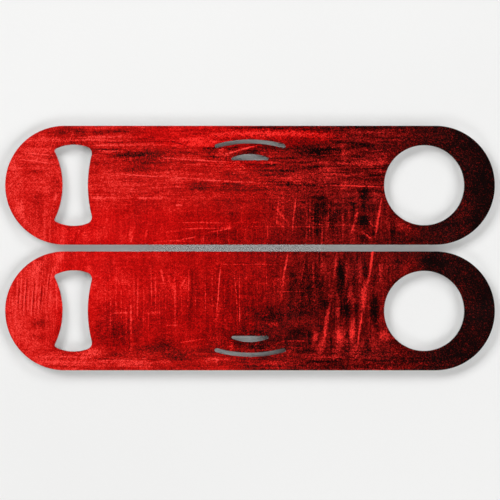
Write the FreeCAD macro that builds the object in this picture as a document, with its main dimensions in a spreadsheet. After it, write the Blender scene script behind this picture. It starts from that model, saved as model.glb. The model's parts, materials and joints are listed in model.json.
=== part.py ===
"""A pair of flat bar blades (speed bottle openers), each a steel blade with a printed skin on both faces.

The two blades are the same part. They lie side by side on a table, one face up and one turned over
about its long axis, so that the pair shows the front of one and the back of the other.

Each blade is a 7 inch stadium of stainless plate with four cut-outs:
  - the cap slot near one end: a circle narrowed by a curved tooth, which goes under a crown cap's rim,
    and by a flatter heel, which rests on top of the cap;
  - the ring near the other end: a round hole for a finger, a hook or a stuck pourer;
  - two slots at mid-length beside one long edge: a narrow band bent into an arc, and under it a
    half-moon with a straight side.
A skin is three bonded layers: adhesive, printed film and clear laminate. It stops just short of the
blade's broken edges, round the outside and round every cut-out.

The row's frame: +X from the cap slot to the ring, +Y from the turned-over blade to the face-up one,
+Z up. The origin is on the table, at the middle of the pair. Millimetres throughout.
"""

import FreeCAD
import Part
import Sketcher
import math
import os

# alias, value in millimetres, what it measures
DIMENSIONS = [
    ("blade_length", 177.8, "overall length of a blade, 7 inches"),
    ("blade_width", 43.2, "overall width of a blade, and twice the radius of its ends"),
    ("steel_thickness", 2.8, "stainless plate, 12 gauge"),
    ("adhesive_thickness", 0.03, "pressure-sensitive adhesive under a skin"),
    ("print_thickness", 0.10, "printed vinyl film"),
    ("laminate_thickness", 0.07, "clear film over the print"),
    ("edge_break", 0.12, "rounding of every edge of the steel"),
    ("skin_inset", 0.20, "how far a skin stops short of the steel's outline"),
    ("opener_gap", 2.4, "space between the two blades"),
    ("ring_radius", 14.5, "finger hole"),
    ("ring_setback", 25.7, "ring end of the blade to the centre of the finger hole"),
    ("slot_setback", 24.9, "slot end of the blade to the centre of the cap slot"),
    ("slot_radius", 14.7, "circle that the ends of the cap slot lie on"),
    ("tooth_setback", 20.9, "slot end of the blade to the tip of the tooth"),
    ("tooth_radius", 27.5, "curve of the tooth"),
    ("tooth_corner", 0.9, "fillet between the tooth and the slot's ends"),
    ("heel_setback", 30.0, "slot end of the blade to the tip of the heel"),
    ("heel_radius", 44.0, "curve of the heel"),
    ("heel_corner", 2.4, "fillet between the heel and the slot's ends"),
    ("band_setback", 5.7, "long edge of the blade to the middle of the band slot"),
    ("band_radius", 45.0, "curve of the band slot's centreline"),
    ("band_width", 1.4, "width of the band slot"),
    ("band_reach", 12.1, "mid-length of the blade to the centre of each round end of the band slot"),
    ("moon_setback", 10.3, "long edge of the blade to the top of the half-moon slot"),
    ("moon_height", 2.2, "height of the half-moon slot"),
    ("moon_radius", 17.0, "curve of the half-moon slot"),
    ("moon_corner", 0.5, "fillet at each end of the half-moon slot"),
]

# A blade is drawn about its own centre, with its front face towards +Z. The layers of each face
# are listed outwards from the steel.
SKIN_LAYERS = ["adhesive", "print", "laminate"]
FACES = {"front": 1, "back": -1}
# opener: the side of the pair's middle line that it lies on, and its turn about the long axis
OPENERS = {"face_up": (1, 0), "face_down": (-1, 180)}

START, END, CENTRE = 1, 2, 3
X_AXIS, Y_AXIS = -1, -2
ORIGIN = (-1, 1)
UP = FreeCAD.Vector(0, 0, 1)
VOLUME_TOLERANCE = 0.01

doc = FreeCAD.newDocument("bar_blades")
sheet = doc.addObject("Spreadsheet::Sheet", "sizes")
for row, (alias, millimetres, meaning) in enumerate(DIMENSIONS, start=1):
    sheet.set(f"A{row}", str(millimetres))
    sheet.setAlias(f"A{row}", alias)
    sheet.set(f"B{row}", meaning)
doc.recompute()


def size(expression):
    """The present value, in millimetres, of an expression of the sheet's cells."""
    return float(sheet.evalExpression(expression))


def cell(expression):
    """The same expression, as an object outside the sheet has to write it."""
    aliases = {alias for alias, _, _ in DIMENSIONS}
    words = expression.replace("(", "( ").replace(")", " )").split()
    return " ".join(f"sizes.{word}" if word in aliases else word for word in words)


def dimension(sketch, expression, kind, *where):
    """Adds a driving dimension to a sketch, bound to an expression of the sheet's cells."""
    index = sketch.addConstraint(Sketcher.Constraint(kind, *where, size(expression)))
    sketch.setExpression(f"Constraints[{index}]", cell(expression))


def point(x, y):
    return FreeCAD.Vector(x, y, 0)


def arc(centre, radius, first, last):
    """An arc that runs anticlockwise from one point to another."""
    turns = [math.atan2(p.y - centre.y, p.x - centre.x) for p in (first, last)]
    if turns[1] <= turns[0]:
        turns[1] += 2 * math.pi
    return Part.ArcOfCircle(Part.Circle(centre, UP, radius), *turns)


def towards(centre, other, distance):
    """The point at a distance from a centre, in the direction of another point."""
    return centre + (other - centre).normalize() * distance


def where_circles_meet(left, left_radius, right, right_radius):
    """The upper of the two points where circles centred on the X axis meet."""
    apart = right.x - left.x
    along = (apart**2 + left_radius**2 - right_radius**2) / (2 * apart)
    return point(left.x + along, math.sqrt(left_radius**2 - along**2))


def mirrored(p):
    """The same point on the other side of the X axis."""
    return point(p.x, -p.y)


def add_loop(sketch, pieces):
    """Adds a closed outline, each piece tangent to the next. A piece is its geometry, and whether
    the outline runs along it from its start to its end."""
    ids = [sketch.addGeometry(geometry, False) for geometry, _ in pieces]
    for here, (_, forward) in enumerate(pieces):
        there = (here + 1) % len(pieces)
        leave = END if forward else START
        enter = START if pieces[there][1] else END
        sketch.addConstraint(Sketcher.Constraint("Tangent", ids[here], leave, ids[there], enter))
    return ids


def on_axis(sketch, piece, axis):
    sketch.addConstraint(Sketcher.Constraint("PointOnObject", piece, CENTRE, axis))


def draw_outline(sketch, inset):
    """The stadium: two half circles and two straight edges."""
    radius = size(f"blade_width / 2 - {inset}")
    reach = size("blade_length / 2 - blade_width / 2")
    right, left = point(reach, 0), point(-reach, 0)
    top, bottom = point(0, radius), point(0, -radius)
    pieces = [
        (arc(right, radius, right + bottom, right + top), True),
        (Part.LineSegment(right + top, left + top), True),
        (arc(left, radius, left + top, left + bottom), True),
        (Part.LineSegment(left + bottom, right + bottom), True),
    ]
    right_end, top_edge, left_end, _ = add_loop(sketch, pieces)
    sketch.addConstraint(Sketcher.Constraint("Horizontal", top_edge))
    sketch.addConstraint(Sketcher.Constraint("Equal", right_end, left_end))
    sketch.addConstraint(Sketcher.Constraint("Symmetric", left_end, CENTRE, right_end, CENTRE, *ORIGIN))
    dimension(sketch, f"blade_width / 2 - {inset}", "Radius", right_end)
    dimension(sketch, "blade_length / 2 - blade_width / 2", "DistanceX", *ORIGIN, right_end, CENTRE)


def draw_ring(sketch, inset):
    """The finger hole."""
    centre = point(size("blade_length / 2 - ring_setback"), 0)
    ring = sketch.addGeometry(Part.Circle(centre, UP, size(f"ring_radius + {inset}")), False)
    on_axis(sketch, ring, X_AXIS)
    dimension(sketch, f"ring_radius + {inset}", "Radius", ring)
    dimension(sketch, "blade_length / 2 - ring_setback", "DistanceX", *ORIGIN, ring, CENTRE)


def draw_cap_slot(sketch, inset):
    """The cap slot: the tooth on the left, the heel on the right, two arcs of one circle above and
    below, and a fillet at each of the four corners."""
    crown_radius = size(f"slot_radius + {inset}")
    tooth_radius = size(f"tooth_radius - {inset}")
    heel_radius = size(f"heel_radius - {inset}")
    crown = point(-size("blade_length / 2 - slot_setback"), 0)
    tooth = point(-size("blade_length / 2 - tooth_setback + tooth_radius"), 0)
    heel = point(-size("blade_length / 2 - heel_setback - heel_radius"), 0)
    # a fillet touches the circle from inside, and the tooth or the heel from outside
    tooth_fillet = size(f"tooth_corner + {inset}")
    heel_fillet = size(f"heel_corner + {inset}")
    tooth_top = where_circles_meet(tooth, tooth_radius + tooth_fillet, crown, crown_radius - tooth_fillet)
    heel_top = where_circles_meet(crown, crown_radius - heel_fillet, heel, heel_radius + heel_fillet)

    crown_heel = towards(crown, heel_top, crown_radius)
    crown_tooth = towards(crown, tooth_top, crown_radius)
    tooth_end = towards(tooth, tooth_top, tooth_radius)
    heel_end = towards(heel, heel_top, heel_radius)
    pieces = [
        (arc(crown, crown_radius, crown_heel, crown_tooth), True),
        (arc(tooth_top, tooth_fillet, crown_tooth, tooth_end), True),
        (arc(tooth, tooth_radius, mirrored(tooth_end), tooth_end), False),
        (arc(mirrored(tooth_top), tooth_fillet, mirrored(tooth_end), mirrored(crown_tooth)), True),
        (arc(crown, crown_radius, mirrored(crown_tooth), mirrored(crown_heel)), True),
        (arc(mirrored(heel_top), heel_fillet, mirrored(crown_heel), mirrored(heel_end)), True),
        (arc(heel, heel_radius, heel_end, mirrored(heel_end)), False),
        (arc(heel_top, heel_fillet, heel_end, crown_heel), True),
    ]
    ids = add_loop(sketch, pieces)
    upper, fillet_1, tooth_side, fillet_2, lower, fillet_3, heel_side, fillet_4 = ids
    sketch.addConstraint(Sketcher.Constraint("Coincident", upper, CENTRE, lower, CENTRE))
    sketch.addConstraint(Sketcher.Constraint("Equal", upper, lower))
    for piece in (upper, tooth_side, heel_side):
        on_axis(sketch, piece, X_AXIS)
    dimension(sketch, f"slot_radius + {inset}", "Radius", upper)
    dimension(sketch, f"tooth_radius - {inset}", "Radius", tooth_side)
    dimension(sketch, f"heel_radius - {inset}", "Radius", heel_side)
    for fillet in (fillet_1, fillet_2):
        dimension(sketch, f"tooth_corner + {inset}", "Radius", fillet)
    for fillet in (fillet_3, fillet_4):
        dimension(sketch, f"heel_corner + {inset}", "Radius", fillet)
    places = {
        upper: "blade_length / 2 - slot_setback",
        tooth_side: "blade_length / 2 - tooth_setback + tooth_radius",
        heel_side: "blade_length / 2 - heel_setback - heel_radius",
    }
    for piece, place in places.items():
        dimension(sketch, place, "DistanceX", piece, CENTRE, *ORIGIN)


def draw_band_slot(sketch, inset):
    """The narrow slot that follows an arc, with round ends."""
    outer_radius = size(f"band_radius + band_width / 2 + {inset}")
    inner_radius = size(f"band_radius - band_width / 2 - {inset}")
    drop = "band_radius + band_setback - blade_width / 2"
    centre = point(0, -size(drop))
    reach = size("band_reach")
    half_turn = math.asin(reach / size("band_radius"))
    height = size("band_radius") * math.cos(half_turn)
    right, left = centre + point(reach, height), centre + point(-reach, height)
    half_width = (outer_radius - inner_radius) / 2
    corners = {
        (name, radius): towards(centre, end, radius)
        for name, end in (("right", right), ("left", left))
        for radius in (outer_radius, inner_radius)
    }
    outer_right, inner_right = corners["right", outer_radius], corners["right", inner_radius]
    outer_left, inner_left = corners["left", outer_radius], corners["left", inner_radius]
    pieces = [
        (arc(centre, outer_radius, outer_right, outer_left), True),
        (arc(left, half_width, outer_left, inner_left), True),
        (arc(centre, inner_radius, inner_right, inner_left), False),
        (arc(right, half_width, inner_right, outer_right), True),
    ]
    outer, left_end, inner, right_end = add_loop(sketch, pieces)
    sketch.addConstraint(Sketcher.Constraint("Coincident", outer, CENTRE, inner, CENTRE))
    on_axis(sketch, outer, Y_AXIS)
    dimension(sketch, f"band_radius + band_width / 2 + {inset}", "Radius", outer)
    dimension(sketch, f"band_radius - band_width / 2 - {inset}", "Radius", inner)
    dimension(sketch, drop, "DistanceY", outer, CENTRE, *ORIGIN)
    dimension(sketch, "band_reach", "DistanceX", *ORIGIN, right_end, CENTRE)
    dimension(sketch, "band_reach", "DistanceX", left_end, CENTRE, *ORIGIN)


def draw_moon_slot(sketch, inset):
    """The half-moon slot: an arc over a straight side, with a fillet at each end."""
    radius = size(f"moon_radius + {inset}")
    fillet = size(f"moon_corner + {inset}")
    drop = "moon_radius + moon_setback - blade_width / 2"
    chord = f"blade_width / 2 - moon_setback - moon_height - {inset}"
    centre = point(0, -size(drop))
    side = size(chord)
    rise = side + fillet - centre.y
    right = point(math.sqrt((radius - fillet) ** 2 - rise**2), side + fillet)
    left = point(-right.x, right.y)
    right_foot, left_foot = point(right.x, side), point(left.x, side)
    right_tip, left_tip = towards(centre, right, radius), towards(centre, left, radius)
    pieces = [
        (arc(centre, radius, right_tip, left_tip), True),
        (arc(left, fillet, left_tip, left_foot), True),
        (Part.LineSegment(left_foot, right_foot), True),
        (arc(right, fillet, right_foot, right_tip), True),
    ]
    bow, left_end, straight, right_end = add_loop(sketch, pieces)
    on_axis(sketch, bow, Y_AXIS)
    sketch.addConstraint(Sketcher.Constraint("Horizontal", straight))
    dimension(sketch, f"moon_radius + {inset}", "Radius", bow)
    dimension(sketch, drop, "DistanceY", bow, CENTRE, *ORIGIN)
    dimension(sketch, chord, "DistanceY", *ORIGIN, straight, START)
    for end in (left_end, right_end):
        dimension(sketch, f"moon_corner + {inset}", "Radius", end)


def make_plate(name, inset, bottom, thickness):
    """A body whose sketch is the blade's whole profile, shrunk by an inset all round, padded from a
    height to a thickness. Both are expressions, in the blade's own frame."""
    body = doc.addObject("PartDesign::Body", name)
    body.Label = name
    sketch = body.newObject("Sketcher::SketchObject", f"{name}_profile")
    plane = next(f for f in body.Origin.OriginFeatures if f.Role == "XY_Plane")
    sketch.AttachmentSupport = (plane, [""])
    sketch.MapMode = "FlatFace"
    sketch.setExpression("AttachmentOffset.Base.z", cell(bottom))
    for draw in (draw_outline, draw_ring, draw_cap_slot, draw_band_slot, draw_moon_slot):
        draw(sketch, inset)
    doc.recompute()
    if sketch.solve() != 0 or not sketch.FullyConstrained:
        raise RuntimeError(f"{name}: the profile isn't fully constrained")
    pad = body.newObject("PartDesign::Pad", f"{name}_pad")
    pad.Profile = sketch
    pad.setExpression("Length", cell(thickness))
    sketch.Visibility = False
    doc.recompute()
    return body


def break_edges(body):
    """Rounds every edge of the plate's two faces, and leaves the upright ones."""
    pad = body.Tip
    flat_edges = [
        f"Edge{number}"
        for number, edge in enumerate(pad.Shape.Edges, start=1)
        if edge.BoundBox.ZLength < size("edge_break")
    ]
    fillet = body.newObject("PartDesign::Fillet", f"{body.Name}_edge_break")
    fillet.Base = (pad, flat_edges)
    fillet.setExpression("Radius", cell("edge_break"))
    doc.recompute()
    if fillet.Shape.Volume >= pad.Shape.Volume:
        raise RuntimeError(f"{body.Name}: the edges weren't rounded")


def make_steel(opener):
    body = make_plate(f"{opener}_steel_blade", "0", "- steel_thickness / 2", "steel_thickness")
    break_edges(body)
    return body


def make_skin(opener, face):
    """The three layers on one face of a blade."""
    inner = "steel_thickness / 2"
    layers = []
    for layer in SKIN_LAYERS:
        thickness = f"{layer}_thickness"
        bottom = inner if FACES[face] > 0 else f"- ( {inner} + {thickness} )"
        layers.append(make_plate(f"{opener}_{face}_{layer}", "skin_inset", bottom, thickness))
        inner = f"{inner} + {thickness}"
    return layers


def lay_down(body, side, turn):
    """Puts a body of one opener where that opener lies in the pair."""
    skin = " + ".join(f"{layer}_thickness" for layer in SKIN_LAYERS)
    body.Placement = FreeCAD.Placement(FreeCAD.Vector(), FreeCAD.Rotation(FreeCAD.Vector(1, 0, 0), turn))
    body.setExpression("Placement.Base.y", cell(f"{side} * ( blade_width + opener_gap ) / 2"))
    body.setExpression("Placement.Base.z", cell(f"steel_thickness / 2 + {skin}"))


bodies = []
for opener, (side, turn) in OPENERS.items():
    made = [make_steel(opener)]
    for face in FACES:
        made += make_skin(opener, face)
    for body in made:
        lay_down(body, side, turn)
    bodies += made
doc.recompute()

for item in doc.Objects:
    if "Invalid" in item.State or "Error" in item.State:
        raise RuntimeError(f"{item.Name}: {item.State}")
for body in bodies:
    if body.Shape.isNull() or not body.Shape.isValid() or len(body.Shape.Solids) != 1:
        raise RuntimeError(f"{body.Label}: the shape isn't one valid solid")
for up, down in zip(bodies[: len(bodies) // 2], bodies[len(bodies) // 2 :]):
    if abs(up.Shape.Volume - down.Shape.Volume) > VOLUME_TOLERANCE:
        raise RuntimeError(f"{up.Label} and {down.Label} differ in volume")

os.makedirs("parts", exist_ok=True)
for body in bodies:
    body.Shape.exportStep(os.path.join("parts", f"{body.Label}.step"))
    box = body.Shape.BoundBox
    print(f"{body.Label}: {body.Shape.Volume:.1f} mm3, z {box.ZMin:.2f} to {box.ZMax:.2f}")
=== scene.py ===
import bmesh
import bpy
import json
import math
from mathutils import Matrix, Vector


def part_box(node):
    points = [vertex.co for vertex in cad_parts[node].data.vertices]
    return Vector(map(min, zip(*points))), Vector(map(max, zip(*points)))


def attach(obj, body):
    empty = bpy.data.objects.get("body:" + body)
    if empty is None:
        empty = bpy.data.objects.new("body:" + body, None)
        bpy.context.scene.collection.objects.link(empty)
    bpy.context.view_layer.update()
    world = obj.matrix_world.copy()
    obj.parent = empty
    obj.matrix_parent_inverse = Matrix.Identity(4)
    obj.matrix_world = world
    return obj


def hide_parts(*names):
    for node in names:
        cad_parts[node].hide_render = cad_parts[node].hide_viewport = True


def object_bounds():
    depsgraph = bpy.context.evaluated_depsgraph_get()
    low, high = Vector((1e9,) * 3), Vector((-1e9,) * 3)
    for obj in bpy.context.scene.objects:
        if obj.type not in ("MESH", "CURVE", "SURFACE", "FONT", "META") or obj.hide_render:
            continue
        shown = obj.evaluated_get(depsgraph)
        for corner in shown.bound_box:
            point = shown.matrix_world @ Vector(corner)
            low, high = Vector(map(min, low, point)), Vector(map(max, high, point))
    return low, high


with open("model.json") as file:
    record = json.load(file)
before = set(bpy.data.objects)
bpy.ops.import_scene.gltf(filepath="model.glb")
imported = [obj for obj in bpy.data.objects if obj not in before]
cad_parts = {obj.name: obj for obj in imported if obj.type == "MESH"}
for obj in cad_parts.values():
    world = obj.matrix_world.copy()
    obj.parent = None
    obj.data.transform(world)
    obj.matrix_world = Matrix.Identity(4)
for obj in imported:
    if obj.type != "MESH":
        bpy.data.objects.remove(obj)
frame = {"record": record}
cad_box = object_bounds()

# The looks of a pair of printed bar-blade bottle openers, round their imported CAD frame.
#
# Each opener is a steel blade with a printed skin on both faces. Its visual pieces are drawn from the
# same arcs as the CAD solids, but with finer curves and rounded rims. They stand for:
#   OPENER_blade      the steel blade
#   OPENER_FACE_bond  the adhesive of one face
#   OPENER_FACE_skin  the printed film and the clear laminate over it, as one bonded skin
#
# A blade is drawn in millimetres about its own centre, with its front towards +Z. The face-down
# opener is the same blade turned half a turn about the X axis.

MM = 0.001
# which way along Z each opener's front looks, and each face of an opener that lies face up
TURNS = {"face_up": 1, "face_down": -1}
FACES = {"front": 1, "back": -1}


# -------- sizes, from the frame

def box_mm(node):
    """A node's lowest and highest corners, in millimetres."""
    return [[value / MM for value in corner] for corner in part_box(node)]


steel_low, steel_high = box_mm("face_up_steel_blade")
HALF_LENGTH = (steel_high[0] - steel_low[0]) / 2
HALF_WIDTH = (steel_high[1] - steel_low[1]) / 2
HALF_STEEL = (steel_high[2] - steel_low[2]) / 2
MIDDLE = (steel_high[2] + steel_low[2]) / 2
BOND_TOP = box_mm("face_up_front_adhesive")[1][2] - MIDDLE
FILM_TOP = box_mm("face_up_front_print")[1][2] - MIDDLE
SKIN_TOP = box_mm("face_up_front_laminate")[1][2] - MIDDLE

mounts = {mount["name"]: mount for mount in frame["record"]["mounts"]}
RING_X = mounts["face_up_ring"]["pos_m"][0] / MM
RING_RADIUS = mounts["face_up_ring"]["dims"]["r_mm"]

# cap slot: the circle that its ends lie on, the tooth and the heel, each with its corner fillets
SLOT_X, SLOT_RADIUS = 24.9 - HALF_LENGTH, 14.7
TOOTH_TIP, TOOTH_RADIUS, TOOTH_CORNER = 20.9 - HALF_LENGTH, 27.5, 0.9
HEEL_TIP, HEEL_RADIUS, HEEL_CORNER = 30.0 - HALF_LENGTH, 44.0, 2.4
# band slot: its centreline's arc, half its width, and how far each way it reaches
BAND_RADIUS, BAND_HALF_WIDTH, BAND_REACH = 45.0, 0.7, 12.1
BAND_Y = HALF_WIDTH - 5.7 - BAND_RADIUS
# half-moon slot: its arc, its corner fillets, and its top, centre and straight side in Y
MOON_RADIUS, MOON_CORNER = 17.0, 0.5
MOON_TOP = HALF_WIDTH - 10.3
MOON_Y = MOON_TOP - MOON_RADIUS
MOON_SIDE = MOON_TOP - 2.2

# the rounding of the steel's edges and of a skin's edge
EDGE_BREAK = 0.12
SKIN_EDGE = 0.05
# how far inside the steel's outline a skin and its adhesive stop
SKIN_INSET = 0.05
BOND_INSET = 0.2
# the width over which the wear at a skin's edge fades
RIM_WIDTH = 0.7

# how finely the outlines are drawn
ARC_STEP_ANGLE = math.radians(5)
ARC_STEP_LENGTH = 0.5
LINE_STEP_LENGTH = 4.0


# -------- outlines

def arc(x, y, radius, start, end, into):
    """Points along an arc from one angle to another, without the last one. Each is its place and the
    direction into the steel, which is away from the arc's centre or, where into is -1, towards it."""
    sweep = abs(end - start)
    steps = max(2, math.ceil(sweep / ARC_STEP_ANGLE), math.ceil(sweep * radius / ARC_STEP_LENGTH))
    turns = [start + (end - start) * step / steps for step in range(steps)]
    return [
        (x + radius * math.cos(a), y + radius * math.sin(a), into * math.cos(a), into * math.sin(a))
        for a in turns
    ]


def line(x0, y0, x1, y1, nx, ny):
    """Points along a straight side, without the last one, with the direction into the steel."""
    steps = max(1, math.ceil(math.hypot(x1 - x0, y1 - y0) / LINE_STEP_LENGTH))
    return [(x0 + (x1 - x0) * s / steps, y0 + (y1 - y0) * s / steps, nx, ny) for s in range(steps)]


def outer_edge():
    reach = HALF_LENGTH - HALF_WIDTH
    right = arc(reach, 0, HALF_WIDTH, -math.pi / 2, math.pi / 2, -1)
    left = arc(-reach, 0, HALF_WIDTH, math.pi / 2, 3 * math.pi / 2, -1)
    top = line(reach, HALF_WIDTH, -reach, HALF_WIDTH, 0, -1)
    bottom = line(-reach, -HALF_WIDTH, reach, -HALF_WIDTH, 0, 1)
    return right + top + left + bottom


def ring_hole():
    return arc(RING_X, 0, RING_RADIUS, 0, 2 * math.pi, 1)


def fillet_centre(x, radius, fillet):
    """Where a fillet's centre lies that touches the cap slot's circle from inside, and a circle about
    (x, 0) from outside: the one with y above zero."""
    apart = x - SLOT_X
    crown = SLOT_RADIUS - fillet
    along = (apart**2 + crown**2 - (radius + fillet) ** 2) / (2 * apart)
    return SLOT_X + along, math.sqrt(crown**2 - along**2)


def cap_slot():
    tooth_x, heel_x = TOOTH_TIP - TOOTH_RADIUS, HEEL_TIP + HEEL_RADIUS
    tx, ty = fillet_centre(tooth_x, TOOTH_RADIUS, TOOTH_CORNER)
    hx, hy = fillet_centre(heel_x, HEEL_RADIUS, HEEL_CORNER)
    crown_heel, crown_tooth = math.atan2(hy, hx - SLOT_X), math.atan2(ty, tx - SLOT_X)
    on_tooth, on_heel = math.atan2(ty, tx - tooth_x), math.atan2(hy, hx - heel_x)
    turn = 2 * math.pi
    return (
        arc(SLOT_X, 0, SLOT_RADIUS, crown_heel, crown_tooth, 1)
        + arc(tx, ty, TOOTH_CORNER, crown_tooth, on_tooth + math.pi, 1)
        + arc(tooth_x, 0, TOOTH_RADIUS, on_tooth, -on_tooth, -1)
        + arc(tx, -ty, TOOTH_CORNER, math.pi - on_tooth, turn - crown_tooth, 1)
        + arc(SLOT_X, 0, SLOT_RADIUS, turn - crown_tooth, turn - crown_heel, 1)
        + arc(hx, -hy, HEEL_CORNER, -crown_heel, math.pi - on_heel, 1)
        + arc(heel_x, 0, HEEL_RADIUS, turn - on_heel, on_heel, -1)
        + arc(hx, hy, HEEL_CORNER, on_heel - math.pi, crown_heel, 1)
    )


def band_slot():
    tilt = math.asin(BAND_REACH / BAND_RADIUS)
    right, left = math.pi / 2 - tilt, math.pi / 2 + tilt
    height = BAND_Y + BAND_RADIUS * math.cos(tilt)
    return (
        arc(0, BAND_Y, BAND_RADIUS + BAND_HALF_WIDTH, right, left, 1)
        + arc(-BAND_REACH, height, BAND_HALF_WIDTH, left, left + math.pi, 1)
        + arc(0, BAND_Y, BAND_RADIUS - BAND_HALF_WIDTH, left, right, -1)
        + arc(BAND_REACH, height, BAND_HALF_WIDTH, right - math.pi, right, 1)
    )


def moon_slot():
    corner_y = MOON_SIDE + MOON_CORNER
    corner_x = math.sqrt((MOON_RADIUS - MOON_CORNER) ** 2 - (corner_y - MOON_Y) ** 2)
    tip = math.atan2(corner_y - MOON_Y, corner_x)
    return (
        arc(0, MOON_Y, MOON_RADIUS, tip, math.pi - tip, 1)
        + arc(-corner_x, corner_y, MOON_CORNER, math.pi - tip, 3 * math.pi / 2, 1)
        + line(-corner_x, MOON_SIDE, corner_x, MOON_SIDE, 0, -1)
        + arc(corner_x, corner_y, MOON_CORNER, -math.pi / 2, tip, 1)
    )


OUTLINES = [outer_edge(), ring_hole(), cap_slot(), band_slot(), moon_slot()]


# -------- meshes

def quarter_round(inset, height, radius, start, end, steps=5):
    """An edge's rounding, as profile steps: where each starts and ends, and its normal at both."""
    turns = [start + (end - start) * step / steps for step in range(steps + 1)]
    places = [(inset - radius * math.cos(a), height + radius * math.sin(a)) for a in turns]
    normals = [(math.cos(a), math.sin(a)) for a in turns]
    return list(zip(places, places[1:], normals, normals[1:]))


def straight(start, end, normal):
    return [(start, end, normal, normal)]


def new_object(name, data):
    thing = bpy.data.objects.new(name, data)
    bpy.context.scene.collection.objects.link(thing)
    return thing


class Plate:
    """A closed plate in the shape of the blade, built ring by ring."""

    def __init__(self, opener, face):
        low, high = box_mm(f"{opener}_steel_blade")
        turn = TURNS[opener]
        self.middle = [(a + b) / 2 for a, b in zip(low, high)]
        self.signs = (1, turn, turn * face)
        self.builder = bmesh.new()
        self.rim = self.builder.verts.layers.float.new("rim")
        self.normals = {}

    def turned(self, *vector):
        """A vector of the blade's frame, turned the way that the opener and the face lie."""
        return [sign * value for sign, value in zip(self.signs, vector)]

    def add_ring(self, inset, height):
        """The vertices round every outline, at one place of the profile."""
        def vert(x, y):
            place = zip(self.middle, self.turned(x, y, height))
            return self.builder.verts.new([(middle + value) * MM for middle, value in place])
        return [[vert(x + nx * inset, y + ny * inset) for x, y, nx, ny in outline] for outline in OUTLINES]

    def add_sides(self, lower, upper, first, last):
        """The faces between two rings. first and last are the profile's normals there."""
        for outline, below, above in zip(OUTLINES, lower, upper):
            for here in range(len(outline)):
                there = (here + 1) % len(outline)
                corners = [below[here], below[there], above[there], above[here]]
                side = self.builder.faces.new(corners)
                points, tilts = (here, there, there, here), (first, first, last, last)
                for vert, point, (out, up) in zip(corners, points, tilts):
                    nx, ny = outline[point][2:]
                    self.normals[side, vert] = self.turned(-out * nx, -out * ny, up)

    def fill(self, ring, up):
        """The flat face inside the blade's outline and round its holes."""
        edges = [
            self.builder.edges.get((loop[i - 1], loop[i])) for loop in ring for i in range(len(loop))
        ]
        filled = bmesh.ops.triangle_fill(self.builder, use_beauty=True, edges=edges)
        for flat in filled["geom"]:
            if isinstance(flat, bmesh.types.BMFace):
                for vert in flat.verts:
                    self.normals[flat, vert] = self.turned(0, 0, up)

    def mark_rim(self, rings):
        for vert in (vert for ring in rings for loop in ring for vert in loop):
            vert[self.rim] = 1

    def finish(self, name):
        """Makes the object, with the normals that were kept for each corner."""
        bmesh.ops.recalc_face_normals(self.builder, faces=self.builder.faces)
        corner_normals = [
            self.normals[flat, corner.vert] for flat in self.builder.faces for corner in flat.loops
        ]
        mesh = bpy.data.meshes.new(name)
        self.builder.to_mesh(mesh)
        self.builder.free()
        for polygon in mesh.polygons:
            polygon.use_smooth = True
        mesh.normals_split_custom_set(corner_normals)
        return new_object(name, mesh)


def make_plate(name, opener, face, profile):
    """Makes a plate as a new object.

    profile runs round the edge from the plate's inner face to its outer one. Each step is two
    places, as inset from the blade's outline and height, and a normal at each, as outwards and up.
    The attribute rim is 1 at the plate's edge and fades to 0 over its last step.
    """
    plate = Plate(opener, face)
    places = [step[0] for step in profile] + [profile[-1][1]]
    rings = [plate.add_ring(inset, height) for inset, height in places]
    for lower, upper, (_, _, first, last) in zip(rings, rings[1:], profile):
        plate.add_sides(lower, upper, first, last)
    plate.fill(rings[0], -1)
    plate.fill(rings[-1], 1)
    plate.mark_rim(rings[:-1])
    return plate.finish(name)


def make_blade(opener):
    flat = HALF_STEEL - EDGE_BREAK
    profile = (
        quarter_round(EDGE_BREAK, -flat, EDGE_BREAK, -math.pi / 2, 0)
        + straight((0, -flat), (0, flat), (1, 0))
        + quarter_round(EDGE_BREAK, flat, EDGE_BREAK, 0, math.pi / 2)
    )
    return make_plate(f"{opener}_blade", opener, 1, profile)


def make_bond(opener, face):
    profile = straight((BOND_INSET, HALF_STEEL), (BOND_INSET, BOND_TOP), (1, 0))
    return make_plate(f"{opener}_{face}_bond", opener, FACES[face], profile)


def make_skin(opener, face):
    rounded = SKIN_INSET + SKIN_EDGE
    profile = (
        straight((SKIN_INSET, BOND_TOP), (SKIN_INSET, FILM_TOP), (1, 0))
        + straight((SKIN_INSET, FILM_TOP), (SKIN_INSET, SKIN_TOP - SKIN_EDGE), (1, 0))
        + quarter_round(rounded, SKIN_TOP - SKIN_EDGE, SKIN_EDGE, 0, math.pi / 2, 4)
        + straight((rounded, SKIN_TOP), (rounded + RIM_WIDTH, SKIN_TOP), (0, 1))
    )
    return make_plate(f"{opener}_{face}_skin", opener, FACES[face], profile)


# -------- node trees

# the spread of a single octave of the noise texture
ONE_OCTAVE_SPREAD = 0.13
# Noise is weakest at whole numbers, so places are moved off them.
OFF_WHOLE = 0.37


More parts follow.
